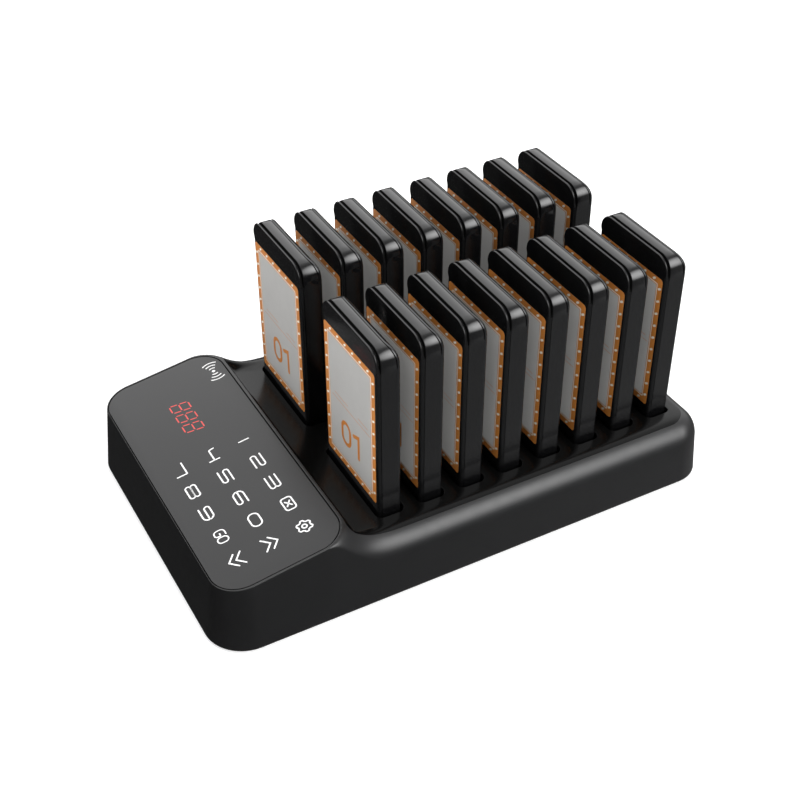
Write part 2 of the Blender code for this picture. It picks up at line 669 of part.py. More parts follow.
def motor_and_weight(holder, base, x, y, silver, copper):
    """Vibration motor whose shaft, part of the weight, turns in a bore in the can."""
    place = (x, y, MOTOR_Z)

    def along_x(x0, x1, radius, sides):
        return lofted([[(px, y + a, MOTOR_Z + b) for a, b in circle(0, 0, radius, sides)] for px in (x + x0, x + x1)])

    can = add_mesh(f"{base}_motor", along_x(-MOTOR_LENGTH, 0, MOTOR_R, 12), silver, place, holder)
    bore = along_x(-MOTOR_BORE_DEPTH, OVERCUT, MOTOR_BORE_R, 10)
    boolean(can, "DIFFERENCE", bore, "motor_bore")
    turns = [math.radians(a) for a in range(-180, 1, 20)]
    fan = [(WEIGHT_R * math.cos(a), WEIGHT_R * math.sin(a)) for a in turns]
    rings = [[(x + px, y + a, MOTOR_Z + b) for a, b in fan] for px in WEIGHT_X]
    weight = add_mesh(f"{base}_motor_weight", lofted(rings), copper, place, holder)
    boolean(weight, "UNION", along_x(*SHAFT_X, SHAFT_R, 10), "motor_shaft")


def build():
    clear_scene()
    satin = material("satin_black_plastic", (0.012, 0.012, 0.013), 0.38)
    gloss = material("gloss_black_plastic", (0.01, 0.01, 0.011), 0.2)
    glass = material("keypad_glass", (0.09, 0.09, 0.095), 0.2)
    rubber = material("foot_rubber", (0.02, 0.02, 0.02), 0.8)
    steel = material("zinc_steel", (0.55, 0.55, 0.56), 0.35, 1.0)
    board_green = material("circuit_board", (0.02, 0.13, 0.06), 0.45)
    display_red = material("display_red", (0.35, 0.02, 0.02), 0.35)
    copper = material("contact_brass", (0.75, 0.55, 0.25), 0.3, 1.0)
    shield = material("tinned_shield", (0.6, 0.6, 0.62), 0.4, 1.0)
    white = material("light_guide_white", (0.8, 0.8, 0.78), 0.4)

    top_housing(satin)
    bottom_cover(satin)
    feet(rubber)
    screws(steel)
    keypad(glass, board_green, display_red)
    charging_parts(board_green, copper)
    radio_parts(shield, copper, satin)
    dc_jack(satin)
    holders = pagers(gloss)
    pager_works(*holders["pager_r1"], board_green, white, shield, copper)


build()
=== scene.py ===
"""Looks of a restaurant paging set: a charging base with a touch keypad and two columns of pagers.

Lengths are in millimetres until MM turns them into metres. +X is the user's right, +Y runs from the
keypad to the back row and +Z is up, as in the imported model.
"""

import math

import bmesh
import bpy
from mathutils import Matrix, Vector


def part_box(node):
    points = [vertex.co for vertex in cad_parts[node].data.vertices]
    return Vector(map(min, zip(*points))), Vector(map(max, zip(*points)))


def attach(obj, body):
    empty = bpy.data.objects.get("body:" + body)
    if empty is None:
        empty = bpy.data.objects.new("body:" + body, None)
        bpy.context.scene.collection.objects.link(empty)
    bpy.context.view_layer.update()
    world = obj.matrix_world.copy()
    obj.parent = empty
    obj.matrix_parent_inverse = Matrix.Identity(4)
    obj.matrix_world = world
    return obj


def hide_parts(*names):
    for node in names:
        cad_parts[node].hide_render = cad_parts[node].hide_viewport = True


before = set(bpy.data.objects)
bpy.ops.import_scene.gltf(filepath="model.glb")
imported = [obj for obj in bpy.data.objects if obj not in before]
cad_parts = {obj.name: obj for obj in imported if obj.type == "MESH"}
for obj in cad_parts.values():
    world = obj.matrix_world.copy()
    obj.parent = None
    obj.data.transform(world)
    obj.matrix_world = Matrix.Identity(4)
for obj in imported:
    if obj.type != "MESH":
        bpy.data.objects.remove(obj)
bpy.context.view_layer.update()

MM = 0.001
SCENE = bpy.context.scene


def node_box(name):
    """A CAD node's corners at rest, in millimetres."""
    low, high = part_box(name)
    return Vector(low) / MM, Vector(high) / MM


# ---------------------------------------------------------------- sizes

HOUSING_LOW, HOUSING_HIGH = node_box("top_housing")
HALF_WIDTH = HOUSING_HIGH.x
HALF_LENGTH = HOUSING_HIGH.y
FOOT_LIFT = HOUSING_LOW.z
SIDE_DRAFT = 0.075
END_DRAFT = 0.112
FRONT_CORNER = 20.0
BACK_CORNER = 18.0
CROWN_Z = 35.2
SHOULDER = 12.4                 # radius of the rounding between the side walls and the crown
END_SHARE = 0.75                # the front and back ends move in by this share of the sides' inset
WALL = 2.5

PANEL_HALF = 82.5
PANEL_FRONT_Y = -133.7
PANEL_BACK_Y = -67.8
PANEL_FRONT_Z = 36.1
PANEL_BACK_Z = 46.5
PANEL_CORNER = 15.8
PANEL_SLOPE = (PANEL_BACK_Z - PANEL_FRONT_Z) / (PANEL_BACK_Y - PANEL_FRONT_Y)
PANEL_EDGE = 0.5                # rounding where the block's top meets its walls
SEAT_RIM = 1.0
SEAT_GAP = 0.3                  # under the panel
GLASS_RIM = 1.55
GLASS = 1.6
SWEEP = 9.0                     # how far the keypad block's foot runs out into the shell
SWEEP_POWER = 1.35

DECK_Z = 35.5
DECK_HALF = 76.5
DECK_FRONT_Y = -67.3
DECK_BACK_Y = 127.5
DECK_FRONT_CORNER = 4.0
DECK_LEAST_CORNER = 1.5
DECK_BACK_CORNER = 11.0
DECK_BLEND = 6.0                # width over which the flat deck flows into the shell round it
DECK_BLEND_STEPS = 9
DECK_LAP = 0.1                  # how far the deck plate runs into the shell round it
DECK_SKIRT_Z = CROWN_Z - 6
DECK_CUT_Z = FOOT_LIFT + 8      # the cut that takes the shell away under the deck starts here
OVERCUT = 10.0                  # how far a cutter runs past what it cuts
SLOT_ROUNDING = 0.4
SLOT_HALF = 29.0
SLOT_FRONT = -1.0
SLOT_BACK = 13.6
SLOT_CORNER = 3.5
SLOT_FLOOR_Z = 26.2
CONTACT_X = 12.0
JACK_ROOM = 0.4                 # round the power inlet

ROWS = 8
PAGER_NAMES = [f"pager_{side}{row}" for side in "lr" for row in range(1, ROWS + 1)]
FRONT_LOW, FRONT_HIGH = node_box("pager_r1_front")
PAGER_HALF = (FRONT_HIGH.x - FRONT_LOW.x) / 2
PAGER_BOTTOM_Z = FRONT_LOW.z
PAGER_TOP_Z = FRONT_HIGH.z
PAGER_DEPTH = node_box("pager_r1_case")[1].y - FRONT_LOW.y
PAGER_CORNER = 8.0
RIM_Y = 0.65
SPLIT_Y = 2.0
SEAM = 0.3
GROOVE_DEPTH = 1.2
GROOVE_END_Y = 2.5
SHELL = 1.8
BACK_ROUNDING = 1.4
BACK_SEAM_Y = 10.3              # thin parting line in front of the case's back
SIDE_EDGE = 1.7                 # radius of the front edge down the sides
FADE_LOW_Z = 117.0              # the groove and parting line fade out between these heights
FADE_HIGH_Z = 120.5
TAPER_Z = 110.0                 # the case gets thinner above this height
TAPER = 0.385                   # share of the depth behind the groove that is gone at the top
TAPER_POWER = 6

LABEL_HALF = 25.0
LABEL_BOTTOM_Z = 41.35
LABEL_TOP_Z = 116.6
LABEL_CORNER = 1.8
BORDER = 3.4
LINE_OUTSIDE = BORDER + 0.55    # the fine line inside the border
LINE_INSIDE = BORDER + 0.95
INK_LIFT = 0.03


def pager_place(name):
    """Where a pager's own frame sits: the middle of its width, at its front face, on the table's level."""
    low, high = node_box(name + "_front")
    return Vector(((low.x + high.x) / 2, low.y, 0.0))


# ---------------------------------------------------------------- outlines and solids

def arc(cx, cy, radius, start, end, steps):
    angles = [math.radians(start + (end - start) * i / steps) for i in range(steps + 1)]
    return [(cx + radius * math.cos(a), cy + radius * math.sin(a)) for a in angles]


def rounded_rect(x0, x1, y0, y1, radius, steps=8, back_radius=None):
    """Anticlockwise outline, starting on the front right corner; back_radius rounds the y1 corners."""
    back = radius if back_radius is None else back_radius
    return (arc(x1 - radius, y0 + radius, radius, -90, 0, steps) + arc(x1 - back, y1 - back, back, 0, 90, steps)
            + arc(x0 + back, y1 - back, back, 90, 180, steps)
            + arc(x0 + radius, y0 + radius, radius, 180, 270, steps))


def bands(rings, start=0):
    """Quads that join each ring of equal length to the next."""
    count = len(rings[0])
    faces = []
    for row in range(len(rings) - 1):
        for i in range(count):
            j = (i + 1) % count
            low, high = start + row * count, start + (row + 1) * count
            faces.append([low + i, low + j, high + j, high + i])
    return faces


def cap(count, start, flip=False):
    """Strips from one side of a mirrored ring to the other, which close it even where it isn't flat."""
    faces = [[start + i, start + i + 1, start + count - 2 - i, start + count - 1 - i]
             for i in range(count // 2 - 1)]
    return [face[::-1] for face in faces] if flip else faces


def add_mesh(name, verts, faces, surfaces, place=(0, 0, 0), marks=None, sharp=35):
    """Object from points in millimetres, shaded smooth but for its sharp edges."""
    mesh = bpy.data.meshes.new(name)
    mesh.from_pydata([Vector(v) * MM for v in verts], [], faces)
    for surface in surfaces:
        mesh.materials.append(surface)
    if marks:
        mesh.polygons.foreach_set("material_index", marks)
    tidy = bmesh.new()
    tidy.from_mesh(mesh)
    bmesh.ops.recalc_face_normals(tidy, faces=tidy.faces)
    tidy.to_mesh(mesh)
    tidy.free()
    mesh.shade_smooth()
    mesh.set_sharp_from_angle(angle=math.radians(sharp))
    return add_object(name, mesh, place)


def add_object(name, mesh, place=(0, 0, 0)):
    made = bpy.data.objects.new(name, mesh)
    made.location = Vector(place) * MM
    SCENE.collection.objects.link(made)
    return made


def cut(piece, verts, faces):
    """Takes a solid out of a piece and applies the result."""
    cutter = add_mesh("cutter", verts, faces, [])
    step = piece.modifiers.new("cut", "BOOLEAN")
    step.operation = "DIFFERENCE"
    step.solver = "EXACT"
    step.object = cutter
    bpy.context.view_layer.update()
    solved = bpy.data.meshes.new_from_object(piece.evaluated_get(bpy.context.evaluated_depsgraph_get()))
    piece.modifiers.clear()
    piece.data = solved
    bpy.data.objects.remove(cutter, do_unlink=True)


def solid(rings):
    count = len(rings[0])
    verts = [point for ring in rings for point in ring]
    faces = bands(rings) + [list(range(count)), list(range(len(verts) - count, len(verts)))]
    return verts, faces


def upright(outline, *heights):
    return solid([[(x, y, z) for x, y in outline] for z in heights])


def panel_z(y, drop=0.0):
    return PANEL_FRONT_Z + PANEL_SLOPE * (y - PANEL_FRONT_Y) - drop


def tilted(outline, *drops):
    return solid([[(x, y, panel_z(y, drop)) for x, y in outline] for drop in drops])


# ---------------------------------------------------------------- materials

CLOUD_SCALE = 45.0              # noise scales, in cycles a metre: slow changes of colour
WEAR_SCALE = 210.0              # and faster ones of roughness


def wire(tree, source, target):
    tree.links.new(source, target)


def scaled(colour, by):
    return tuple(min(channel * by, 1.0) for channel in colour) + (1.0,)


def noise(tree, scale, detail=2.0, stretch=(1, 1, 1)):
    coords = tree.nodes.new("ShaderNodeTexCoord")
    mapping = tree.nodes.new("ShaderNodeMapping")
    mapping.inputs["Scale"].default_value = stretch
    texture = tree.nodes.new("ShaderNodeTexNoise")
    texture.inputs["Scale"].default_value = scale
    texture.inputs["Detail"].default_value = detail
    wire(tree, coords.outputs["Object"], mapping.inputs["Vector"])
    wire(tree, mapping.outputs["Vector"], texture.inputs["Vector"])
    return texture.outputs["Fac"]


def between(tree, value, low, high):
    """Maps a noise value's usual range onto low to high."""
    mapped = tree.nodes.new("ShaderNodeMapRange")
    mapped.inputs["From Min"].default_value = 0.3
    mapped.inputs["From Max"].default_value = 0.7
    mapped.inputs["To Min"].default_value = low
    mapped.inputs["To Max"].default_value = high
    wire(tree, value, mapped.inputs["Value"])
    return mapped.outputs["Result"]


def blended(tree, factor, first, second):
    mix = tree.nodes.new("ShaderNodeMix")
    mix.data_type = "RGBA"
    mix.inputs["A"].default_value = first
    mix.inputs["B"].default_value = second
    wire(tree, factor, mix.inputs["Factor"])
    return mix.outputs["Result"]


def surface(name, colour, roughness, metallic=0.0, spread=0.04, tint=0.12, grain=1800.0, depth=0.004,
            stretch=(1, 1, 1), rounding=0.0, specular=0.5):
    """Material whose colour, roughness and fine relief all vary a little; depth and rounding are in mm."""
    made = bpy.data.materials.new(name)
    made.use_nodes = True
    tree = made.node_tree
    shader = tree.nodes["Principled BSDF"]
    shader.inputs["Metallic"].default_value = metallic
    shader.inputs["Specular IOR Level"].default_value = specular
    cloud = between(tree, noise(tree, CLOUD_SCALE), 0.0, 1.0)
    shade = blended(tree, cloud, scaled(colour, 1 - tint), scaled(colour, 1 + tint))
    wire(tree, shade, shader.inputs["Base Color"])
    wear = noise(tree, WEAR_SCALE, 3.0, stretch)
    wire(tree, between(tree, wear, roughness - spread, roughness + spread), shader.inputs["Roughness"])
    if not depth:
        return made
    bump = tree.nodes.new("ShaderNodeBump")
    bump.inputs["Strength"].default_value = 1.0
    bump.inputs["Distance"].default_value = depth * MM
    wire(tree, noise(tree, grain, 2.0, stretch), bump.inputs["Height"])
    if rounding:
        edge = tree.nodes.new("ShaderNodeBevel")
        edge.samples = 6
        edge.inputs["Radius"].default_value = rounding * MM
        wire(tree, edge.outputs["Normal"], bump.inputs["Normal"])
    wire(tree, bump.outputs["Normal"], shader.inputs["Normal"])
    return made


def glowing(name, colour, strength, roughness=0.35, **finish):
    made = surface(name, colour, roughness, **finish)
    shader = made.node_tree.nodes["Principled BSDF"]
    shader.inputs["Emission Color"].default_value = scaled(colour, 1)
    shader.inputs["Emission Strength"].default_value = strength
    return made


def circuit_board():
    """Green solder mask over a faint grid of copper tracks."""
    made = surface("circuit_board_mask", (0.015, 0.12, 0.05), 0.4, depth=0.01)
    tree = made.node_tree
    tracks = tree.nodes.new("ShaderNodeTexBrick")
    tracks.inputs["Scale"].default_value = 260.0
    tracks.inputs["Mortar Size"].default_value = 0.03
    tracks.inputs["Color1"].default_value = (0.012, 0.11, 0.045, 1)
    tracks.inputs["Color2"].default_value = (0.015, 0.135, 0.055, 1)
    tracks.inputs["Mortar"].default_value = (0.05, 0.24, 0.1, 1)
    coords = tree.nodes.new("ShaderNodeTexCoord")
    wire(tree, coords.outputs["Object"], tracks.inputs["Vector"])
    wire(tree, tracks.outputs["Color"], tree.nodes["Principled BSDF"].inputs["Base Color"])
    return made


SATIN = surface("satin_black_abs", (0.0035, 0.0035, 0.004), 0.39, spread=0.02, depth=0.001, rounding=0.35)
CASE = surface("smooth_black_abs", (0.0035, 0.0035, 0.0038), 0.15, spread=0.02, depth=0.0004, rounding=0.15)
DECK = surface("semi_gloss_black_deck", (0.002, 0.002, 0.002), 0.21, spread=0.015, depth=0.0, specular=0.2)
# Matt near-black for the pagers' groove and parting-line faces: painted shade of those deep gaps, not a separate
# seal part.
GROOVE_SHADE_BLACK = surface("matt_black_painted_groove_shade", (0.003, 0.003, 0.003), 0.85, specular=0.1)
PANEL = surface("grey_touch_panel", (0.014, 0.014, 0.0145), 0.3, spread=0.01, tint=0.02, depth=0.0, specular=0.35)
WHITE_INK = surface("white_panel_ink", (0.78, 0.78, 0.78), 0.5, tint=0.03)
LED_RED = glowing("lit_red_segment", (0.42, 0.03, 0.025), 0.6)
# The label film's faint emission is painted light: a fill glow that lifts the labels' shaded parts between the
# pagers.
LABEL = glowing("milky_label_film_painted_fill_glow", (0.36, 0.356, 0.346), 0.195, 0.42, tint=0.03, grain=900.0, depth=0.002)
ORANGE = surface("orange_label_ink", (0.56, 0.2, 0.035), 0.45, tint=0.1)
CREAM = surface("cream_label_ink", (0.82, 0.77, 0.67), 0.45, tint=0.04)
BRASS = surface("gold_plated_contact", (0.83, 0.6, 0.26), 0.25, 1.0)
STEEL = surface("zinc_plated_steel", (0.55, 0.55, 0.56), 0.32, 1.0, stretch=(8, 1, 1))
RUBBER = surface("foot_rubber", (0.02, 0.02, 0.02), 0.75, depth=0.02)
TIN = surface("tinned_shield", (0.6, 0.6, 0.62), 0.36, 1.0, stretch=(1, 6, 1))
FROSTED = surface("frosted_light_guide", (0.8, 0.8, 0.78), 0.5)
DISPLAY = surface("red_display_filter", (0.18, 0.01, 0.01), 0.3)
BOARD = circuit_board()


# ---------------------------------------------------------------- base housing

def wall_outline(z, inset, steps=20):
    """Outline of the drafted outer wall at height z, moved inward by inset, with extra side points."""
    rise = z - FOOT_LIFT
    half_x = HALF_WIDTH - SIDE_DRAFT * rise - inset
    half_y = HALF_LENGTH - END_DRAFT * rise - inset * END_SHARE
    front = max(FRONT_CORNER - END_DRAFT * rise - inset, 1.0)
    back = max(BACK_CORNER - END_DRAFT * rise - inset, 1.0)
    outline = rounded_rect(-half_x, half_x, -half_y, half_y, front, steps, back)
    stations = [PANEL_BACK_Y - PANEL_CORNER + 1.5 * i for i in range(34)]
    right = [(half_x, y) for y in stations]
    left = [(-half_x, y) for y in reversed(stations)]
    quarter = steps + 1
    return outline[:quarter] + right + outline[quarter:3 * quarter] + left + outline[3 * quarter:]


def beyond(x, y, half_x, half_y, radius):
    """Distance outside a rounded rectangle round the origin, negative inside it."""
    over_x, over_y = abs(x) - half_x + radius, abs(y) - half_y + radius
    return math.hypot(max(over_x, 0), max(over_y, 0)) + min(max(over_x, over_y), 0) - radius


def block_share(x, y):
    """1 over the keypad block, falling off smoothly outside the rounded outline of its top."""
    mid_y = (PANEL_FRONT_Y + PANEL_BACK_Y) / 2
    outside = beyond(x, y - mid_y, PANEL_HALF, (PANEL_BACK_Y - PANEL_FRONT_Y) / 2, PANEL_CORNER)
    return math.exp(-(max(outside, 0) / SWEEP) ** SWEEP_POWER) if y > mid_y else 1.0


def rim_height(x, y, inset):
    reach = min(inset, SHOULDER)
    rim = CROWN_Z - SHOULDER + math.sqrt(SHOULDER ** 2 - (SHOULDER - reach) ** 2)
    near = PANEL_EDGE - min(inset, PANEL_EDGE)
    edge = PANEL_EDGE - math.sqrt(PANEL_EDGE ** 2 - near ** 2)
    return rim + (panel_z(y) - edge - rim) * block_share(x, y)


def shell_height(x, y):
    """Height of the shell behind the keypad block at a point, with its inset from the wall found by halving."""
    rise = CROWN_Z - SHOULDER - FOOT_LIFT
    low, high = 0.0, SHOULDER
    for _ in range(16):
        inset = (low + high) / 2
        half_x = HALF_WIDTH - SIDE_DRAFT * rise - inset
        half_y = HALF_LENGTH - END_DRAFT * rise - inset * END_SHARE
        outside = beyond(x, y, half_x, half_y, BACK_CORNER - END_DRAFT * rise - inset)
        low, high = (inset, high) if outside < 0 else (low, inset)
    return rim_height(x, y, low)


def housing_rings():
    """From the floor of the shell's underside, round its lower edge and over the shoulder to the middle."""
    rings = []
    for z, inset in ((FOOT_LIFT + 4, WALL), (FOOT_LIFT + 0.2, WALL), (FOOT_LIFT, WALL - 0.2),
                     (FOOT_LIFT, 0.6), (FOOT_LIFT + 0.2, 0.15), (FOOT_LIFT + 0.7, 0.0)):
        rings.append([(x, y, z) for x, y in wall_outline(z, inset)])
    small = [PANEL_EDGE * (1 - math.cos(math.radians(a))) for a in (0, 30, 60)]
    arcs = [SHOULDER * (1 - math.cos(math.radians(a))) for a in range(18, 91, 6)]
    for inset in small + arcs + [SHOULDER + 5.0]:
        ring = []
        for low, high in zip(wall_outline(CROWN_Z - SHOULDER, inset), wall_outline(PANEL_BACK_Z - 5, inset)):
            share = block_share(*high)
            x = low[0] + (high[0] - low[0]) * share
            y = low[1] + (high[1] - low[1]) * share
            ring.append((x, y, rim_height(x, y, inset)))
        rings.append(ring)
    return rings


def deck_outline(out):
    """Outline of the deck grown by out, with extra side points next to the keypad block."""
    half = DECK_HALF + out
    outline = rounded_rect(-half, half, DECK_FRONT_Y - out, DECK_BACK_Y + out,
                           max(DECK_FRONT_CORNER + out, DECK_LEAST_CORNER), 16, DECK_BACK_CORNER + out)
    stations = [DECK_FRONT_Y + DECK_FRONT_CORNER + 1.5 * i for i in range(1, 19)]
    right = [(half, y) for y in stations]
    left = [(-half, y) for y in reversed(stations)]
    return outline[:17] + right + outline[17:51] + left + outline[51:]


def base_shell():
    rings = housing_rings()
    count = len(rings[0])
    verts = [point for ring in rings for point in ring]
    faces = bands(rings) + [list(range(count))] + cap(count, len(verts) - count)
    shell = add_mesh("base_shell", verts, faces, [SATIN])
    deck = deck_outline(0)
    cut(shell, *upright(deck, DECK_CUT_Z, PANEL_BACK_Z + OVERCUT))
    edge = SEAT_RIM
    seat = rounded_rect(-PANEL_HALF + edge, PANEL_HALF - edge, PANEL_FRONT_Y + edge, PANEL_BACK_Y - edge,
                        PANEL_CORNER - edge, 16)
    cut(shell, *tilted(seat, GLASS + SEAT_GAP, -OVERCUT))
    jack_low, jack_high = node_box("dc_jack")
    left, right = jack_low.x - JACK_ROOM, jack_high.x + JACK_ROOM
    front, back = jack_low.y - 2, HALF_LENGTH + OVERCUT
    port = [(left, front), (right, front), (right, back), (left, back)]
    cut(shell, *upright(port, jack_low.z - JACK_ROOM, jack_high.z + JACK_ROOM))
    shell.data.shade_smooth()
    shell.data.set_sharp_from_angle(angle=math.radians(30))
    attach(shell, "base")
    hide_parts("top_housing")


def fillet_rings(outline_at, top_z, radius, bottom_z, steps=6):
    """Rings of a rounded edge that turns down from a flat top; outline_at(offset) grows the outline."""
    rings = []
    for i in range(steps + 1):
        angle = math.radians(90 * i / steps)
        out = radius * (math.sin(angle) - 1)
        z = top_z - radius * (1 - math.cos(angle))
        rings.append([(x, y, z) for x, y in outline_at(out)])
    rings.append([(x, y, bottom_z) for x, y in outline_at(0)])
    return rings


def deck_plate():
    """The flat deck with its slots: an edge that flows into the shell, slot walls and slot floors in one mesh."""
    verts, faces, tops = [], [], []

    def add_run(rings, floor):
        start = len(verts)
        count = len(rings[0])
        verts.extend(point for ring in rings for point in ring)
        faces.extend(bands(rings, start))
        tops.append([start + i for i in range(count)])
        if floor:
            faces.append([len(verts) - count + i for i in range(count)])

    rings = []
    for i in range(DECK_BLEND_STEPS + 1):
        share = i / DECK_BLEND_STEPS
        ease = share * share * (3 - 2 * share)
        rings.append([(x, y, DECK_Z + (shell_height(x, y) - DECK_Z) * ease)
                      for x, y in deck_outline(DECK_LAP + DECK_BLEND * (share - 1))])
    rings.append([(x, y, DECK_SKIRT_Z) for x, y in deck_outline(DECK_LAP)])
    add_run(rings, False)
    for name in PAGER_NAMES:
        place = pager_place(name)

        def slot_edge(out, place=place):
            half = SLOT_HALF - out
            return rounded_rect(place.x - half, place.x + half, place.y + SLOT_FRONT + out,
                                place.y + SLOT_BACK - out, SLOT_CORNER - out, 8)

        add_run(fillet_rings(slot_edge, DECK_Z, SLOT_ROUNDING, SLOT_FLOOR_Z), True)
    mesh = bmesh.new()
    points = [mesh.verts.new(Vector(v)) for v in verts]
    for face in faces:
        mesh.faces.new([points[i] for i in face])
    edges = []
    for loop in tops:
        for a, b in zip(loop, loop[1:] + loop[:1]):
            edges.append(mesh.edges.get((points[a], points[b])))
    bmesh.ops.triangle_fill(mesh, edges=edges, use_beauty=True, normal=(0, 0, 1))
    mesh.verts.index_update()
    all_verts = [tuple(v.co) for v in mesh.verts]
    all_faces = [[v.index for v in face.verts] for face in mesh.faces]
    mesh.free()
    plate = add_mesh("deck_plate", all_verts, all_faces, [DECK], sharp=50)
    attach(plate, "base")


def slot_contacts():
    """Two domed gold contacts on the floor of each slot."""
    verts, faces = [], []
    for name in PAGER_NAMES:
        place = pager_place(name)
        for side in (-1, 1):
            rings = []
            for radius, height in ((2.0, 0.02), (1.9, 0.12), (1.4, 0.2), (0.5, 0.24)):
                ring = arc(place.x + side * CONTACT_X, place.y + PAGER_DEPTH / 2, radius, 0, 345, 23)
                rings.append([(x, y, SLOT_FLOOR_Z + height) for x, y in ring])
            start = len(verts)
            verts += [point for ring in rings for point in ring]
            faces += bands(rings, start)
            faces.append([len(verts) - 24 + i for i in range(24)])
    pads = add_mesh("slot_contacts", verts, faces, [BRASS], sharp=60)
    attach(pads, "base")


# ---------------------------------------------------------------- printed marks

def rounded_path(points, radii, closed=False, steps=7):
    """The line through points, with corner i turned by an arc of radius radii[i]."""
    pull = 0.5523
    path = []
    for i, point in enumerate(points):
        radius = radii[i] if isinstance(radii, (list, tuple)) else radii
        at_end = not closed and i in (0, len(points) - 1)
        if at_end or radius == 0:
            path.append(Vector(point))
            continue
        corner = Vector(point)
        back = (Vector(points[i - 1]) - corner).normalized()
        ahead = (Vector(points[(i + 1) % len(points)]) - corner).normalized()
        start, end = corner + back * radius, corner + ahead * radius
        lead, follow = corner + back * radius * (1 - pull), corner + ahead * radius * (1 - pull)
        for step in range(steps + 1):
            t = step / steps
            path.append(start * (1 - t) ** 3 + lead * 3 * t * (1 - t) ** 2 + follow * 3 * t * t * (1 - t)
                        + end * t ** 3)
    kept = [path[0]]
    for point in path[1:]:
        if (point - kept[-1]).length > 1e-4:
            kept.append(point)
    if closed and (kept[0] - kept[-1]).length < 1e-4:
        kept.pop()
    return kept


def ribbon(path, width, closed=False):
    """Flat strip along a path, with round ends unless it is closed."""
    path = [Vector(point) for point in path]
    count = len(path)
    half = width / 2
    verts, faces, tangents = [], [], []
    for i, point in enumerate(path):
        inward = (point - path[i - 1]).normalized() if i or closed else None
        onward = (path[(i + 1) % count] - point).normalized() if i < count - 1 or closed else None
        inward = inward or onward
        onward = onward or inward
        tangent = (inward + onward).normalized()
        tangents.append(tangent)
        side = Vector((-tangent.y, tangent.x))
        reach = half / max(side.dot(Vector((-inward.y, inward.x))), 0.5)
        verts += [point + side * reach, point - side * reach]
    for i in range(count if closed else count - 1):
        j = (i + 1) % count
        faces.append([2 * i, 2 * i + 1, 2 * j + 1, 2 * j])
    if not closed:
        for index, heading in ((0, -tangents[0]), (count - 1, tangents[-1])):
            angle = math.degrees(math.atan2(heading.y, heading.x))
            tip = arc(path[index].x, path[index].y, half, angle - 90, angle + 90, 8)
            faces.append([len(verts) + i for i in range(len(tip))])
            verts += [Vector(point) for point in tip]
    return verts, faces


def ring_between(outer, inner):
    """Flat ring between two outlines of equal length."""
    count = len(outer)
    faces = [[i, (i + 1) % count, count + (i + 1) % count, count + i] for i in range(count)]
    return [Vector(p) for p in outer + inner], faces


def decal(name, layers, surfaces, spot, place=(0, 0, 0)):
    """One mesh of flat printed layers: (verts, faces, surface number, lift) with spot giving each 3-D point."""
    verts, faces, marks = [], [], []
    for layer_verts, layer_faces, number, lift in layers:
        start = len(verts)
        verts += [spot(point[0], point[1], lift) for point in layer_verts]
        faces += [[start + i for i in face] for face in layer_faces]
        marks += [number] * len(layer_faces)
    return add_mesh(name, verts, faces, surfaces, place, marks)


def moved(shape, dx, dy):
    verts, faces = shape
    return [Vector((v[0] + dx, v[1] + dy)) for v in verts], faces


KEY_W = 4.3                     # half the width of a key's numeral, between stroke middles
KEY_H = 2.55
KEY_STROKE = 0.76
KEY_TURN = 1.26
KEY_COLUMNS = [-6.0 + 17.4 * i for i in range(5)]
KEY_ROWS = [-83.9, -101.0, -118.1]
LETTER_SHARE = 0.85             # the stroke of the key with letters, against the others
WAVE_SPOT = (-64.0, -75.6)
WAVE_RADII = (2.6, 4.9, 7.2)
WAVE_SPAN = 60
WAVE_STROKE = 0.7
WAVE_DOT = 0.9
DIGIT_COLUMNS = (-48.4, -39.65, -30.9)
DIGIT_Y = -100.6


def box_path(half_w, low, high, radius):
    return rounded_path([(half_w, low), (half_w, high), (-half_w, high), (-half_w, low)], radius, True)


def key_glyphs():
    """Each key's strokes round its own middle: lists of (path, closed)."""
    w, h, r = KEY_W, KEY_H, KEY_TURN
    wide = h - 0.1

    def run(*points, radii=r):
        return rounded_path(points, radii), False

    def chevron(apex, way):
        return [(-3.9, apex - 3.4 * way), (0, apex), (3.9, apex - 3.4 * way)], False

    gear = []
    for i in range(72):
        angle = 2 * math.pi * i / 72
        radius = 3.3 + 0.42 * math.tanh(2.2 * math.cos(6 * angle))
        gear.append((radius * math.cos(angle), radius * math.sin(angle)))
    letter = 1.8
    return {
        "1": [([(0, -h), (0, h)], False)],
        "2": [run((-w, h), (w, h), (w, 0), (-w, 0), (-w, -h), (w, -h))],
        "3": [run((-w, h), (w, h), (w, 0), (-w, 0)), run((w - 1.5, 0), (w, 0), (w, -h), (-w, -h))],
        "cancel": [(box_path(4.2, -2.6, 2.6, 1.5), True), ([(-1.6, -1.2), (1.6, 1.2)], False),
                   ([(-1.6, 1.2), (1.6, -1.2)], False)],
        "gear": [(gear, True), (arc(0, 0, 1.15, 0, 345, 23), True)],
        "4": [run((-w, h), (-w + 0.4, 0), (w - 0.3, 0), radii=0.5), ([(w - 0.3, h), (w - 0.3, -h)], False)],
        "5": [run((w, h), (-w, h), (-w, 0), (w, 0), (w, -h), (-w, -h))],
        "6": [run((w, h), (-w, h), (-w, -h), (w, -h), (w, 0), (-w, 0), radii=[0, wide, wide, r, r, 0])],
        "0": [(box_path(w, -h, h, wide), True)],
        "next": [chevron(3.5, 1), chevron(-0.1, 1)],
        "7": [run((-w, h), (w, h), (w, -h), radii=0.3)],
        "8": [(box_path(w, 0, h, r), True), (box_path(w, -h, 0, r), True)],
        "9": [run((-w, -h), (w, -h), (w, h), (-w, h), (-w, 0), (w, 0), radii=[0, wide, wide, r, r, 0])],
        "go": [run((-0.4, h), (-4.1, h), (-4.1, -h), (-0.4, -h), (-0.4, 0), (-2.0, 0),
                   radii=[0, letter, letter, 1.2, 0.3, 0]),
               ([(p[0] + 2.35, p[1]) for p in box_path(letter, -h, h, letter - 0.1)], True)],
        "back": [chevron(0.0, -1), chevron(-3.5, -1)],
    }


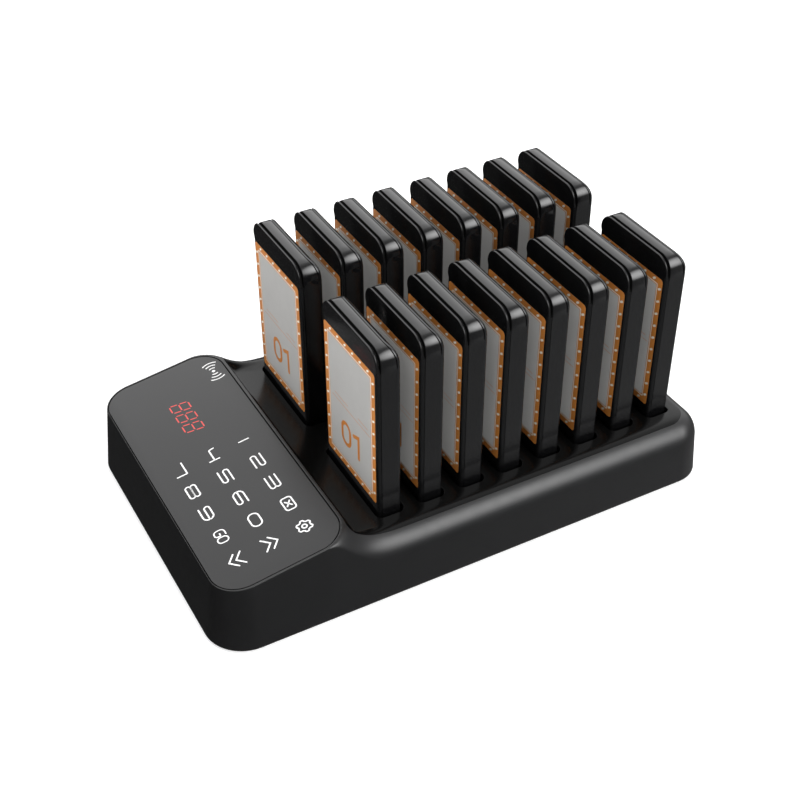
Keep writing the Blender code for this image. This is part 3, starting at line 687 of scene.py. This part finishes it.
def keypad_marks():
    """White key numerals and symbols, and a radio-wave symbol in the panel's back left corner."""
    glyphs = key_glyphs()
    rows = (("1", "2", "3", "cancel", "gear"), ("4", "5", "6", "0", "next"), ("7", "8", "9", "go", "back"))
    layers = []
    for y, names in zip(KEY_ROWS, rows):
        for x, name in zip(KEY_COLUMNS, names):
            for path, closed in glyphs[name]:
                strip = ribbon(path, KEY_STROKE * (LETTER_SHARE if name == "go" else 1), closed)
                layers.append((*moved(strip, x, y), 0, INK_LIFT))
    for radius in WAVE_RADII:
        for middle in (0, 180):
            path = arc(*WAVE_SPOT, radius, middle - WAVE_SPAN / 2, middle + WAVE_SPAN / 2, 12)
            layers.append((*ribbon(path, WAVE_STROKE), 0, INK_LIFT))
    dot = arc(*WAVE_SPOT, WAVE_DOT, 0, 345, 23)
    layers.append(([Vector(p) for p in dot], [list(range(len(dot)))], 0, INK_LIFT))
    marks = decal("keypad_marks", layers, [WHITE_INK], lambda x, y, lift: (x, y, panel_z(y, -lift)))
    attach(marks, "base")


def display_digits():
    """Three lit digits of seven segments, leaning to the right."""
    half_w, half_h, lean, gap, stroke = 2.9, 4.8, 0.17, 0.55, 0.68
    segments = [((-half_w + gap, y), (half_w - gap, y)) for y in (-half_h, 0, half_h)]
    for x in (-half_w, half_w):
        segments += [((x, gap), (x, half_h - gap)), ((x, -half_h + gap), (x, -gap))]
    layers = []
    for centre in DIGIT_COLUMNS:
        for start, end in segments:
            middle = (Vector(start) + Vector(end)) / 2
            along = (Vector(end) - Vector(start)).normalized()
            side = Vector((-along.y, along.x))
            half = (Vector(end) - Vector(start)).length / 2
            shape = [middle + along * a + side * b for a, b in (
                (-half, 0), (-half + stroke / 2, -stroke / 2), (half - stroke / 2, -stroke / 2), (half, 0),
                (half - stroke / 2, stroke / 2), (-half + stroke / 2, stroke / 2))]
            shape = [Vector((centre + p.x + lean * p.y, DIGIT_Y + p.y)) for p in shape]
            layers.append((shape, [list(range(6))], 0, INK_LIFT))
    digits = decal("display_digits", layers, [LED_RED], lambda x, y, lift: (x, y, panel_z(y, -lift)))
    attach(digits, "base")


def keypad_panel():
    """The touch panel, with a small rounded edge all round."""
    rings = []
    radius = 0.2
    steps = [(0, GLASS), (0, radius)]
    for angle in (22.5, 45, 67.5, 90):
        turn = math.radians(angle)
        steps.append((-radius * (1 - math.cos(turn)), radius * (1 - math.sin(turn))))
    for out, drop in steps:
        edge = GLASS_RIM - out
        outline = rounded_rect(-PANEL_HALF + edge, PANEL_HALF - edge, PANEL_FRONT_Y + edge, PANEL_BACK_Y - edge,
                               PANEL_CORNER - edge, 20)
        rings.append([(x, y, panel_z(y, drop)) for x, y in outline])
    verts, faces = solid(rings)
    panel = add_mesh("touch_panel", verts, faces, [PANEL], sharp=60)
    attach(panel, "base")
    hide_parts("keypad_glass")


# ---------------------------------------------------------------- pagers

def tapered(depth, z):
    rise = max(z - TAPER_Z, 0) / (PAGER_TOP_Z - TAPER_Z)
    return depth - max(depth - GROOVE_END_Y, 0) * TAPER * rise ** TAPER_POWER


def pager_outline(inset):
    """Outline of a pager's front, with points down its sides for the taper."""
    half = PAGER_HALF - inset
    radius = max(PAGER_CORNER - inset, 1.0)
    outline = rounded_rect(-half, half, PAGER_BOTTOM_Z + inset, PAGER_TOP_Z - inset, radius, 10)
    heights = [100, 106, 110, 113, 115, 117, 117.8, 118.5, 119.2, 119.9]
    right = [(half, z) for z in heights]
    left = [(-half, z) for z in reversed(heights)]
    return outline[:11] + right + outline[11:33] + left + outline[33:]


def side_inset(depth, inset):
    """The inset a step of the profile has down the sides, where the front edge is a plain round."""
    if depth < SIDE_EDGE:
        return SIDE_EDGE - math.sqrt(SIDE_EDGE ** 2 - (SIDE_EDGE - depth) ** 2)
    return inset if depth > PAGER_DEPTH - BACK_ROUNDING else 0.0


def pager_ring(depth, inset, outer):
    """Ring of a pager at a depth behind its face; an outer ring keeps its inset only round the top."""
    ring = []
    side = pager_outline(side_inset(depth, inset) if outer else inset)
    for (x, z), (side_x, side_z) in zip(pager_outline(inset), side):
        share = min(max((side_z - FADE_LOW_Z) / (FADE_HIGH_Z - FADE_LOW_Z), 0), 1)
        share *= share * (3 - 2 * share)
        x, z = side_x + (x - side_x) * share, side_z + (z - side_z) * share
        ring.append((x, tapered(depth, z), z))
    return ring


def cup_mesh(name, outer, hollow, shaded_depths):
    """Open cup from (depth, inset) steps: the outer run starts at the open rim, the hollow ends there.

    The bands between two steps that both lie in one of the given ranges of depths take the matt black that paints
    the shade of the groove and parting line, round the top."""
    rings = [pager_ring(depth, inset, True) for depth, inset in outer]
    rings += [pager_ring(depth, inset, False) for depth, inset in hollow]
    count = len(rings[0])
    verts = [point for ring in rings for point in ring]
    faces = bands(rings[:len(outer)]) + bands(rings[len(outer):], len(outer) * count)
    faces += cap(count, (len(outer) - 1) * count) + cap(count, len(outer) * count)
    last = len(verts) - count
    faces += [[i, (i + 1) % count, last + (i + 1) % count, last + i] for i in range(count)]
    # Bands of the groove and parting line near the top take the matt black that stands for their painted shade.
    marks = []
    for step, after, ring in zip(outer, outer[1:], rings):
        dark = any(low <= min(step[0], after[0]) and max(step[0], after[0]) <= high for low, high in shaded_depths)
        marks += [int(dark and z > FADE_LOW_Z) for x, y, z in ring]
    marks += [0] * (len(faces) - len(marks))
    made = add_mesh(name, verts, faces, [CASE, GROOVE_SHADE_BLACK], marks=marks, sharp=32)
    mesh = made.data
    bpy.data.objects.remove(made)
    return mesh


def turned(depth, inset, radius, start, end, steps=5):
    """(depth, inset) steps along an arc round a centre at depth, inset."""
    return [(depth + radius * math.sin(math.radians(a)), inset - radius * math.cos(math.radians(a)))
            for a in [start + (end - start) * i / steps for i in range(steps + 1)]]


def front_mesh():
    rim = 0.6
    outer = [(SPLIT_Y, GROOVE_DEPTH), (RIM_Y + 0.12, GROOVE_DEPTH), (RIM_Y + 0.08, 0.2), (RIM_Y + 0.04, 0.04)]
    outer += turned(rim, rim, rim, 0, -90, 8)
    # The last range is the groove, which takes the painted-shade matt black round the top.
    return cup_mesh("pager_front", outer, [(1.4, SHELL), (SPLIT_Y, SHELL)], [(RIM_Y + 0.07, SPLIT_Y)])


def case_mesh():
    edge = SPLIT_Y + SEAM
    back = PAGER_DEPTH - BACK_ROUNDING
    seam = BACK_SEAM_Y
    outer = [(edge, GROOVE_DEPTH), (GROOVE_END_Y - 0.05, 0.25), (GROOVE_END_Y + 0.05, 0.07),
             (GROOVE_END_Y + 0.25, 0)]
    outer += [(seam - 0.32, 0), (seam - 0.24, 0.06), (seam - 0.2, 0.5), (seam + 0.2, 0.5), (seam + 0.24, 0.06),
              (seam + 0.32, 0)]
    outer += turned(back, BACK_ROUNDING, BACK_ROUNDING, 0, 90, 8)
    # The last ranges are the groove's back edge and the parting line, which take the painted-shade matt black round
    # the top.
    return cup_mesh("pager_case", outer, [(PAGER_DEPTH - 1.5, SHELL), (edge, SHELL)],
                    [(edge, GROOVE_END_Y - 0.04), (seam - 0.25, seam + 0.25)])


NUMERAL_W = 4.05
NUMERAL_H = 6.2
NUMERAL_Z = 62.2
NUMERAL_STROKE = 2.15
NOUGHT_X = -4.85
ONE_X = 6.1
FILM_LIFT = 0.02                # heights of the printed layers over a pager's face
PRINT_LIFT = 0.04
NUMERAL_LIFT = 0.05
STITCH_LIFT = 0.06
STITCH_WIDTH = 1.15
STITCH_EDGE = 1.75              # from the label's edge to the stitches' middles
STITCH_STEP_Z = 7.1
STITCH_STEP_X = 7.4
RULES = ((-18.3, 19.5, 77.9), (-15.8, -2.5, 80.6), (8.0, 17.5, 80.6))
RULE_WIDTH = 0.3


def label_layers():
    """Milky film, whose faint glow is painted fill light, with an orange stitched border, a fine inner line and
    thin rules.
    """
    mid = (LABEL_BOTTOM_Z + LABEL_TOP_Z) / 2

    def outline(inset):
        half = LABEL_HALF - inset
        radius = max(LABEL_CORNER - inset, 0.6)
        return rounded_rect(-half, half, LABEL_BOTTOM_Z + inset, LABEL_TOP_Z - inset, radius, 6)

    film = [Vector(p) for p in outline(0)]
    layers = [(film, [list(range(len(film)))], 0, FILM_LIFT)]
    for outer, inner, ink in ((0, BORDER, 1), (BORDER, LINE_OUTSIDE, 2), (LINE_OUTSIDE, LINE_INSIDE, 1)):
        layers.append((*ring_between(outline(outer), outline(inner)), ink, PRINT_LIFT))
    stitch = ribbon([(-0.6, -0.4), (0.6, 0.4)], STITCH_WIDTH)
    spots = [(x, mid + STITCH_STEP_Z * (i - 4.5)) for i in range(10)
             for x in (-LABEL_HALF + STITCH_EDGE, LABEL_HALF - STITCH_EDGE)]
    spots += [(STITCH_STEP_X * (i - 2.5), z) for i in range(6)
              for z in (LABEL_BOTTOM_Z + STITCH_EDGE, LABEL_TOP_Z - STITCH_EDGE)]
    for x, z in spots:
        layers.append((*moved(stitch, x, z), 2, STITCH_LIFT))
    for x0, x1, z in RULES:
        layers.append((*ribbon([(x0, z), (x1, z)], RULE_WIDTH), 1, PRINT_LIFT))
    return layers


def number_layers():
    """The numeral 01: a long rounded nought and a one with a short flag."""
    w, h = NUMERAL_W, NUMERAL_H
    nought = ribbon(box_path(w, -h, h, w - 0.05), NUMERAL_STROKE, True)
    one = ribbon([(-3.2, 4.3), (1.7, h), (1.7, -h)], NUMERAL_STROKE)
    return [(*moved(shape, x, NUMERAL_Z), 0, NUMERAL_LIFT) for shape, x in ((nought, NOUGHT_X), (one, ONE_X))]


def pager_pads_mesh():
    """The two gold pads on a pager's lower edge."""
    verts, faces = [], []
    for side in (-1, 1):
        rings = []
        for radius, lift in ((2.2, 0.0), (2.1, -0.05), (0.4, -0.08)):
            ring = arc(side * CONTACT_X, PAGER_DEPTH / 2, radius, 0, 345, 23)
            rings.append([(x, y, PAGER_BOTTOM_Z + lift) for x, y in ring])
        start = len(verts)
        verts += [point for ring in rings for point in ring]
        faces += bands(rings, start)
        faces.append([len(verts) - 24 + i for i in range(24)])
    made = add_mesh("pager_pads", verts, faces, [BRASS], sharp=60)
    mesh = made.data
    bpy.data.objects.remove(made)
    return mesh


def pagers():
    front, case, pads = front_mesh(), case_mesh(), pager_pads_mesh()
    sheet, numeral = label_layers(), number_layers()
    for name in PAGER_NAMES:
        place = pager_place(name)

        def on_face(x, z, lift):
            return x, -lift, z

        pieces = {
            "front": (add_object(f"{name}_front_shell", front, place), "pager_plastic"),
            "case": (add_object(f"{name}_case_shell", case, place), "pager_plastic"),
            "pads": (add_object(f"{name}_pads", pads, place), "contact_metal"),
            "label": (decal(f"{name}_label", sheet, [LABEL, ORANGE, CREAM], on_face, place), "pager_plastic"),
            "number": (decal(f"{name}_number", numeral, [ORANGE], on_face, place), "pager_plastic"),
        }
        for piece, slot in pieces.values():
            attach(piece, name)
        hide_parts(name + "_front")
        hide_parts(name + "_case")


# ---------------------------------------------------------------- carried-over CAD pieces

def dress_cad():
    """Every CAD piece that stays visible takes its finish here."""
    finishes = {"bottom_cover": SATIN, "dc_jack": SATIN, "buzzer": SATIN, "keypad_board": BOARD,
                "charging_board": BOARD, "led_display": DISPLAY, "rf_module": TIN, "antenna": BRASS,
                "pager_r1_board": BOARD, "pager_r1_battery": TIN, "pager_r1_light_guide": FROSTED,
                "pager_r1_motor": TIN, "pager_r1_motor_weight": BRASS, "pager_r1_contacts": BRASS}
    for number in range(1, 5):
        finishes[f"contact_strip_{number}"] = BRASS
        finishes[f"foot_{number}"] = RUBBER
        finishes[f"screw_{number}"] = STEEL
    for name, finish in finishes.items():
        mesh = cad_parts[name].data
        mesh.materials.clear()
        mesh.materials.append(finish)


# ---------------------------------------------------------------- camera, floor and light

CAMERA_TURN = (61.41, 38.13, -0.08)         # azimuth, elevation and roll, in degrees
CAMERA_PLACE = (0.48403, -0.26334, 0.47418)
CAMERA_LENS = 61.51


def camera():
    azimuth, elevation, roll = (math.radians(angle) for angle in CAMERA_TURN)
    back = Vector((math.sin(azimuth) * math.cos(elevation), -math.cos(azimuth) * math.cos(elevation),
                   math.sin(elevation)))
    right = Vector((math.cos(azimuth), math.sin(azimuth), 0))
    up = back.cross(right)
    turned_right = right * math.cos(roll) + up * math.sin(roll)
    turned_up = up * math.cos(roll) - right * math.sin(roll)
    data = bpy.data.cameras.new("camera")
    data.sensor_width = 36
    data.lens = CAMERA_LENS
    made = bpy.data.objects.new("camera", data)
    rotation = Matrix((turned_right, turned_up, back)).transposed()
    made.matrix_world = Matrix.Translation(CAMERA_PLACE) @ rotation.to_4x4()
    SCENE.collection.objects.link(made)
    SCENE.camera = made


KEY_DIRECTION = (0.74, 0.376, 0.56)
AIM = (0, 0, 0.06)
FLOOR_REACH = 4.0
HORIZON = (0.05, 0.3)           # between these heights of the view's direction the ground turns into sky
GLOW_EDGE = math.cos(math.radians(32))
GLOW_CORE = math.cos(math.radians(4))
GLOW = 7.0


def softbox(name, direction, distance, size, power):
    """Square area light in a direction from the object's middle, turned to face it."""
    data = bpy.data.lights.new(name, "AREA")
    data.shape = "SQUARE"
    data.size = size
    data.energy = power
    made = bpy.data.objects.new(name, data)
    aim = Vector(AIM)
    made.location = aim + Vector(direction).normalized() * distance
    made.rotation_euler = (aim - made.location).to_track_quat("-Z", "Y").to_euler()
    SCENE.collection.objects.link(made)


def studio():
    floor_mesh = bpy.data.meshes.new("floor")
    reach = FLOOR_REACH
    corners = [(-reach, -reach, 0), (reach, -reach, 0), (reach, reach, 0), (-reach, reach, 0)]
    floor_mesh.from_pydata(corners, [], [(0, 1, 2, 3)])
    floor_mesh.materials.append(glowing("pale_floor", (0.7, 0.7, 0.7), 0.6, 0.9, tint=0.005, specular=0.0))
    floor = bpy.data.objects.new("floor", floor_mesh)
    SCENE.collection.objects.link(floor)
    floor.visible_glossy = False

    softbox("key", KEY_DIRECTION, distance=1.3, size=0.45, power=0.9)
    world = bpy.data.worlds.new("studio")
    world.use_nodes = True
    SCENE.world = world
    tree = world.node_tree
    background = tree.nodes["Background"]
    background.inputs["Color"].default_value = (1, 1, 1, 1)
    coords = tree.nodes.new("ShaderNodeTexCoord")
    split = tree.nodes.new("ShaderNodeSeparateXYZ")
    wire(tree, coords.outputs["Generated"], split.inputs["Vector"])

    def eased(source, low, high, low_value, high_value):
        step = tree.nodes.new("ShaderNodeMapRange")
        step.interpolation_type = "SMOOTHSTEP"
        for slot, value in (("From Min", low), ("From Max", high), ("To Min", low_value), ("To Max", high_value)):
            step.inputs[slot].default_value = value
        wire(tree, source, step.inputs["Value"])
        return step.outputs["Result"]

    def joined(operation, first, second):
        node = tree.nodes.new("ShaderNodeMath")
        node.operation = operation
        wire(tree, first, node.inputs[0])
        wire(tree, second, node.inputs[1])
        return node.outputs["Value"]

    wash = eased(split.outputs["X"], -0.35, 0.35, 2.1, 0.55)
    sky = joined("MULTIPLY", wash, eased(split.outputs["Z"], *HORIZON, 0.0, 1.0))
    below = joined("ADD", eased(split.outputs["X"], -0.5, 0.6, 0.04, 0.15),
                   eased(split.outputs["Y"], 0.1, 0.6, 0.0, 0.17))
    ground = joined("MULTIPLY", below, eased(split.outputs["Z"], *HORIZON, 1.0, 0.0))
    towards = tree.nodes.new("ShaderNodeVectorMath")
    towards.operation = "DOT_PRODUCT"
    towards.inputs[1].default_value = Vector(KEY_DIRECTION).normalized()
    wire(tree, coords.outputs["Generated"], towards.inputs[0])
    glow = eased(towards.outputs["Value"], GLOW_EDGE, GLOW_CORE, 0.0, GLOW)
    level = joined("ADD", joined("ADD", sky, ground), glow)
    path = tree.nodes.new("ShaderNodeLightPath")
    seen = tree.nodes.new("ShaderNodeMix")
    seen.inputs["B"].default_value = 1.0
    wire(tree, path.outputs["Is Camera Ray"], seen.inputs["Factor"])
    wire(tree, level, seen.inputs["A"])
    wire(tree, seen.outputs["Result"], background.inputs["Strength"])
    SCENE.view_settings.view_transform = "Standard"


camera()
studio()
base_shell()
deck_plate()
slot_contacts()
keypad_panel()
keypad_marks()
display_digits()
pagers()
dress_cad()
